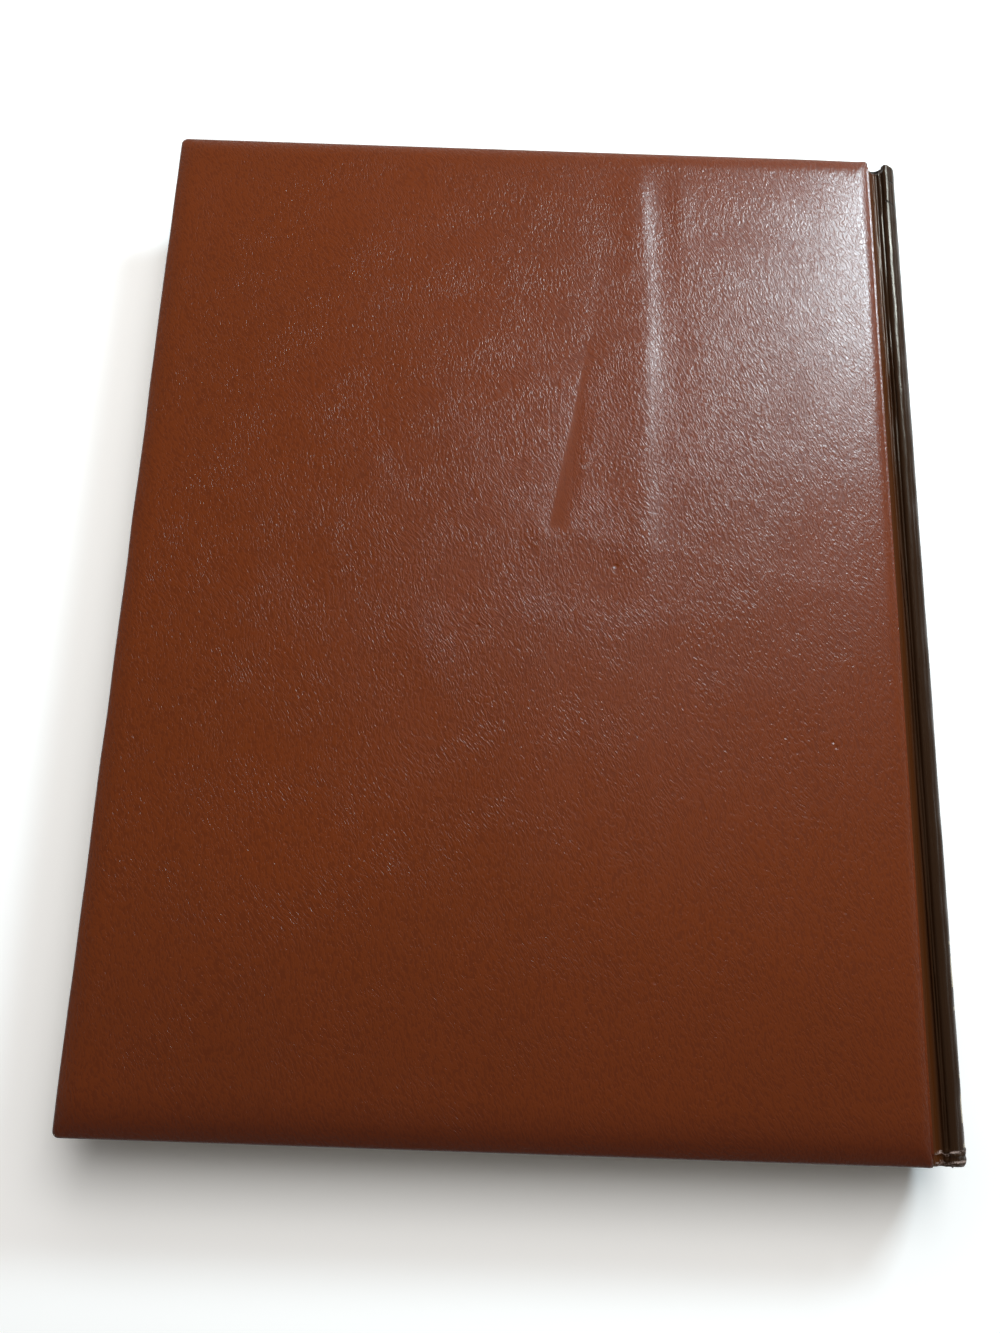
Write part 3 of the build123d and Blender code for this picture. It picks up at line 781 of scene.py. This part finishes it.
def spine_half(name, material, sizes, side):
    """Half of the spine cloth, from the lap on one board to the middle of the spine, turned in at both
    ends. It is modelled at the upper cover and mirrored for the lower one."""
    line, arc_centre = spine_path()
    x, z, angle = line.T
    radial = np.degrees(np.arctan2(z - mid_z, x - arc_centre))
    on_inlay = (x > tip_x) & (radial < 40.0)
    radius = np.where(on_inlay, 2 * cloth + inlay_card, 1.25) / 2
    turn_in = np.where(on_inlay, sizes.cap_turn_in / MM, 2.9)
    on_edge, above_edge = x < lap_high[0] + 0.02, z > board_low[2] + 0.6
    half = np.where(x < board_high[0] + 0.01, half_cover - lap_end, half_cover)
    half = np.where((x >= board_high[0] + 0.01) & on_edge & above_edge, half_board - 0.4, half)
    half = np.where(on_edge & ~above_edge, half_cover, half)
    end, end_spacing, spacing = 5.6, 0.28, 1.5
    near = np.arange(0, end, end_spacing) / half_cover
    middle = np.linspace(-1 + end / half_cover, 1 - end / half_cover, int(2 * half_cover / spacing))
    plain = np.concatenate([near - 1, middle, 1 - near[::-1]])
    last = len(plain) - 1
    round_steps, flat_steps = 7, 2
    normal = np.stack([np.cos(angle), 0 * angle, np.sin(angle)], -1)
    folded = np.where(half < half_cover, 0.0, 1.0)
    points = []
    for at in range(-round_steps - flat_steps, last + 1 + round_steps + flat_steps):
        k = max(-at, at - last)
        sign = -1 if at < 0 else 1
        if 0 <= at <= last:
            y = plain[at] * (half - radius * folded)
            inward = 0 * x
        elif k <= round_steps:
            a = pi * k / round_steps
            y = sign * (half - radius * folded + radius * folded * sin(a))
            inward = radius * folded * (1 - cos(a))
        else:
            share = (k - round_steps) / flat_steps
            y = sign * (half - radius * folded - (turn_in - radius) * folded * share)
            inward = 2 * radius * folded
        lift = spine_relief(x, z, y, side, sizes) * (inward < 0.05) - head_dip(x, z, y, side)
        cap = worn_cap(x, z, y, side) * np.where(x > lap_high[0] + 0.3, 1.0, 0.0)
        place = np.stack([x, y + 0 * x, z], -1) + normal * (lift - inward)[:, None]
        place[:, 1] += cap * -np.sign(y)
        points.append(place)
    points = np.array(points)
    faces = grid_faces(np.arange(points[..., 0].size).reshape(points.shape[:2]))
    points = points.reshape(-1, 3)
    if side:
        points = mirrored(points)
    else:
        faces = [face[::-1] for face in faces]
    made = mesh_object(name, points, faces, material)
    closed = made.data.attributes.new("closed_place", "FLOAT_VECTOR", "POINT")
    closed.data.foreach_set("vector", (points * MM).ravel())
    off_inlay = 0.05
    finish_sheet(made, 0.0005, cloth - off_inlay, -1.0, 55)
    return made


def worn_cap(x, z, y, side):
    """How far the worn end of the spine is pushed in along the book."""
    near_tail = step(-y, half_cover - 6, half_cover - 1)
    near_head = step(y, half_cover - 5, half_cover - 1)
    outer = step(x, tip_x + 2.5, spine_high[0] + 0.5)
    up = z - mid_z
    waves = 0.1 * (1 + np.sin(up * 1.1 + x * 0.9)) + 0.06 * (1 + np.sin(up * 2.7)) + 0.45 * outer**2
    soft = 0.05 * (1 + np.sin(up * 0.9 + 1.0)) + 0.8 * outer**2
    if side == 0:
        soft = soft + 0.3 * step(x, 100.8, 101.8) * (1 - step(x, 104.4, 106.2)) * (z > mid_z)
    return waves * near_tail + soft * near_head


class BookOperator(bpy.types.Operator):
    """Base of the book's operators, which finish or raise."""

    bl_options = {"REGISTER", "UNDO"}

    @property
    def sizes(self):
        return bpy.context.scene.book_sizes

    @property
    def colours(self):
        return bpy.context.scene.book_colours


class OBJECT_OT_book_covers(BookOperator):
    """Makes the padded leatherette of both covers"""

    bl_idname = "object.book_covers"
    bl_label = "Padded covers"

    def execute(self, context):
        # Small pits, and specks where the depth is negative: place, radius and depth in millimetres
        pits = [
            (-89.6, -32.1, 0.9, 0.1),
            (-61.9, -71.3, 0.8, 0.1),
            (81.4, -83.7, 0.9, 0.12),
            (33.0, -102.2, 1.0, 0.1),
            (-14.6, -11.4, 0.8, 0.12),
            (22.8, 6.8, 1.0, 0.2),
            (48.6, 136.2, 0.7, -0.12),
            (35.3, -140.6, 1.2, -0.14),
            (38.8, -141.6, 1.0, -0.12),
            (80.4, -40.2, 0.7, 0.12),
            (81.2, -41.6, 0.7, 0.12),
        ]
        upper = cover_skin(
            "back_cover_leatherette",
            padded_leatherette("Embossed_PU_leatherette", self.colours, pits),
            self.sizes,
            [(-5, 1.6), (37, 0.85), (92, 1.6)],
            [(8, 1.6), (62, 1.1), (130, 1.5)],
            upper_relief,
            False,
        )
        lower = cover_skin(
            "front_cover_leatherette",
            padded_leatherette("Embossed_PU_leatherette_lower", self.colours, []),
            self.sizes,
            [(92, 2.6)],
            [(130, 2.6)],
            lower_relief,
            True,
        )
        for made, side in ((upper, "back"), (lower, "front")):
            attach(made, side + "_cover")
            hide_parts(side + "_leatherette")
        return {"FINISHED"}


class OBJECT_OT_book_spine(BookOperator):
    """Makes the spine cloth in two halves, one at each cover"""

    bl_idname = "object.book_spine"
    bl_label = "Spine cloth"

    def execute(self, context):
        # Plain rules across the spine, from and to in y
        marks = [
            (-91.0, -90.2),
            (-101.4, -93.9),
            (-107.0, -106.2),
            (-122.8, -122.0),
            (-133.3, -126.9),
            (-138.8, -138.0),
        ]
        material = spine_leatherette("Glossy_PU_leatherette", self.colours, marks)
        for side, name in enumerate(("back", "front")):
            made = spine_half(name + "_spine_cloth", material, self.sizes, side)
            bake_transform(made)
            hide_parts("spine_cover", name + "_spine_lap")
        return {"FINISHED"}


class OBJECT_OT_book_papers(BookOperator):
    """Finishes the pages and endpapers, and bridges the endpapers over both joints"""

    bl_idname = "object.book_papers"
    bl_label = "Pages and endpapers"

    def execute(self, context):
        nodes = frame["nodes"]
        set_material(nodes["text_block"], page_paper("Uncoated_book_paper", self.colours))
        sheet = fibrous("Uncoated_endpaper", self.colours.endpaper, linear("ddd3bd"), 0.8, 0.5, 0.03)
        for name in ("back_flyleaf", "front_flyleaf", "back_pastedown", "front_pastedown"):
            set_material(nodes[name], sheet)
        for side, name in enumerate(("back", "front")):
            made = joint_paper(name + "_joint_paper", sheet, side)
            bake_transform(made)
        return {"FINISHED"}


def joint_paper(name, material, side):
    """The endpaper across the joint, from the pastedown's edge to the flyleaf near the shoulder tip."""
    turn = asin(shoulder_run / shoulder_bend)
    off_pages, short_of_tip, paper = 0.36, 1.65, 0.12
    centre = (tip_x - shoulder_run, mid_z + half_block + shoulder_bend)
    line = [(paste_high[0] - 0.3, paste_low[2] + 0.1), (paste_high[0] + 0.6, paste_low[2] + 0.09)]
    line += [(x, mid_z + half_block + off_pages) for x in (paste_high[0] + 1.6, centre[0])]
    radius = shoulder_bend - off_pages
    last = turn * (1 - short_of_tip / (turn * shoulder_bend))
    for a in np.linspace(0.05, last, 40):
        line.append((centre[0] + radius * sin(a), centre[1] - radius * cos(a)))
    ys = np.linspace(-half_pages, half_pages, 41)
    points = np.array([[(x, y, z) for x, z in line] for y in ys])
    faces = grid_faces(np.arange(points[..., 0].size).reshape(points.shape[:2]).T)
    points = points.reshape(-1, 3)
    if side:
        points = mirrored(points)
        faces = [face[::-1] for face in faces]
    made = mesh_object(name, points, faces, material)
    finish_sheet(made, 0.0005, paper, 0.0, 50)
    return made


def set_material(node, material):
    """Gives a CAD node its material in every slot."""
    if not node.material_slots:
        node.data.materials.append(material)
    for holder in node.material_slots:
        holder.material = material


class OBJECT_OT_book_linings(BookOperator):
    """Finishes the boards, padding and the linings inside the spine"""

    bl_idname = "object.book_linings"
    bl_label = "Boards, padding and linings"

    def execute(self, context):
        nodes, colours = frame["nodes"], self.colours
        board = fibrous("Grey_binders_board", colours.board, linear("6c675f"), 0.9, 0.8, 0.08, 0.5)
        foam = foam_material("Open_cell_foam", colours.foam)
        for side in ("back", "front"):
            set_material(nodes[side + "_board"], board)
            set_material(nodes[side + "_padding"], foam)
        set_material(nodes["mull"], woven("Starched_gauze", colours.gauze, linear("8f8873"), 1.2, 0.12))
        set_material(nodes["spine_lining"], fibrous("Kraft_paper", colours.kraft, linear("7d5a36"), 0.85, 0.7, 0.04))
        set_material(nodes["spine_inlay"], fibrous("Inlay_card", colours.card, linear("7b7365"), 0.88, 0.8, 0.05))
        band = woven("Headband_thread", colours.band, linear("9d8b68"), self.sizes.thread / MM, 0.2, 0.6)
        for name in ("head_band", "tail_band"):
            set_material(nodes[name], band)
        return {"FINISHED"}


class OBJECT_OT_book_stage(BookOperator):
    """Makes the floor, the window light, the world and the camera"""

    bl_idname = "object.book_stage"
    bl_label = "Stage"

    def execute(self, context):
        for other in context.selected_objects:
            other.select_set(False)
        bpy.ops.mesh.primitive_circle_add(vertices=64, radius=6.0, fill_type="NGON", location=(0, 0, 0))
        floor = context.active_object
        floor.name = "floor"
        floor.data.materials.append(floor_material())
        make_world()
        light_from("window", 38, 38, 0.8, 0.18, 0.13, 3.5, (0.78, 0.93, 1.0))
        glow = light_from("ceiling_glow", 22, 67, 0.8, 0.42, 0.42, 4.3, (1.0, 0.95, 0.9))
        glow.visible_glossy = False
        camera = bpy.data.cameras.new("camera")
        holder = bpy.data.objects.new("camera", camera)
        context.scene.collection.objects.link(holder)
        focal_pixels, photo_height, film = 946.1, 1333, 36
        camera.sensor_width = film
        camera.lens = focal_pixels / photo_height * film
        camera.clip_start = 0.01
        holder.location = (-0.0080, -0.0815, 0.2772)
        holder.rotation_euler = (radians(13.35), radians(-0.39), radians(1.91))
        context.scene.camera = holder
        context.scene.view_settings.view_transform = "Standard"
        return {"FINISHED"}


def light_from(name, azimuth, elevation, distance, width, height, power, tint):
    """An area light at so many degrees from the head towards the spine, facing the book."""
    data = bpy.data.lights.new(name, "AREA")
    data.shape = "RECTANGLE"
    data.size, data.size_y = width, height
    data.energy = power
    data.color = tint
    lamp = bpy.data.objects.new(name, data)
    bpy.context.scene.collection.objects.link(lamp)
    a, e = radians(azimuth), radians(elevation)
    towards = Vector((sin(a) * cos(e), cos(a) * cos(e), sin(e)))
    lamp.location = towards * distance
    lamp.rotation_euler = towards.to_track_quat("Z", "Y").to_euler()
    return lamp


def floor_material():
    """Matt white paper backdrop. It is white to the camera, with the book's shadow, and greyer in reflections,
    as a table is under a book. To the camera it glows: fully far from the book, and a little beside it as
    painted light that fades the book's shadow outwards."""
    material = bpy.data.materials.new("Matt_white_backdrop")
    material.use_nodes = True
    material.node_tree.nodes.clear()
    add = partial(add_node, material.node_tree)
    paths = add("LightPath").node.outputs
    seen = add("Math", "MAXIMUM", paths["Is Camera Ray"], paths["Is Transmission Ray"])
    sheet = add("BsdfDiffuse", add("Mix", "RGBA", seen, (0.6, 0.6, 0.6, 1.0), (1.1, 1.14, 1.165, 1.0)))
    place = add("TexCoord").node.outputs["Object"]
    cover = [c * MM for c in (skin_high[0], half_cover, 0.0)]
    outside = add("VectorMath", "SUBTRACT", add("VectorMath", "ABSOLUTE", place), cover)
    away = add("VectorMath", "LENGTH", add("VectorMath", "MAXIMUM", outside, (0, 0, 0)))
    # Painted light: glow beside the book, rising from 0.02 to 0.24 over 50 mm, fades the shadow outwards
    near = add("MapRange", "SMOOTHSTEP", away, 0.004, 0.05, 0.02, 0.24)
    far = add("MapRange", "SMOOTHSTEP", away, 0.18, 0.6, 0.0, 0.7)
    strength = add("Math", "MULTIPLY", seen, add("Math", "ADD", near, far))
    add("OutputMaterial", add("AddShader", sheet, add("Emission", (1, 1, 1, 1), strength)))
    return material


def make_world():
    """A dim room, a little brighter low down, seen as white by the camera."""
    world = bpy.data.worlds.new("Room")
    bpy.context.scene.world = world
    world.use_nodes = True
    world.node_tree.nodes.clear()
    add = partial(add_node, world.node_tree)
    height = add("SeparateXYZ", add("TexCoord").node.outputs["Generated"]).node.outputs["Z"]
    level = add("MapRange", "SMOOTHSTEP", height, 0.0, 0.8, 0.19, 0.085)
    room = add("Background", (1.0, 0.9, 0.8, 1), level)
    white = add("Background", (1, 1, 1, 1), 1.0)
    paths = add("LightPath").node.outputs
    seen = add("Math", "MAXIMUM", paths["Is Camera Ray"], paths["Is Transmission Ray"])
    add("OutputWorld", add("MixShader", seen, room, white))


STEPS = (
    OBJECT_OT_book_covers,
    OBJECT_OT_book_spine,
    OBJECT_OT_book_papers,
    OBJECT_OT_book_linings,
    OBJECT_OT_book_stage,
)


class VIEW3D_PT_book(bpy.types.Panel):
    """Lists the steps that dress the book"""

    bl_label = "Padded book"
    bl_idname = "VIEW3D_PT_book"
    bl_space_type = "VIEW_3D"
    bl_region_type = "UI"
    bl_category = "Book"

    def draw(self, context):
        for group in (context.scene.book_sizes, context.scene.book_colours):
            box = self.layout.box()
            for name in group.__annotations__:
                box.prop(group, name)
        for operator in STEPS:
            self.layout.operator(operator.bl_idname)


CLASSES = (BookSizes, BookColours) + STEPS + (VIEW3D_PT_book,)


def register():
    for item in CLASSES:
        bpy.utils.register_class(item)
    bpy.types.Scene.book_sizes = PointerProperty(type=BookSizes)
    bpy.types.Scene.book_colours = PointerProperty(type=BookColours)


def unregister():
    del bpy.types.Scene.book_colours
    del bpy.types.Scene.book_sizes
    for item in reversed(CLASSES):
        bpy.utils.unregister_class(item)


def main():
    register()
    bpy.ops.object.book_covers()
    bpy.ops.object.book_spine()
    bpy.ops.object.book_papers()
    bpy.ops.object.book_linings()
    bpy.ops.object.book_stage()


if __name__ == "__main__":
    main()
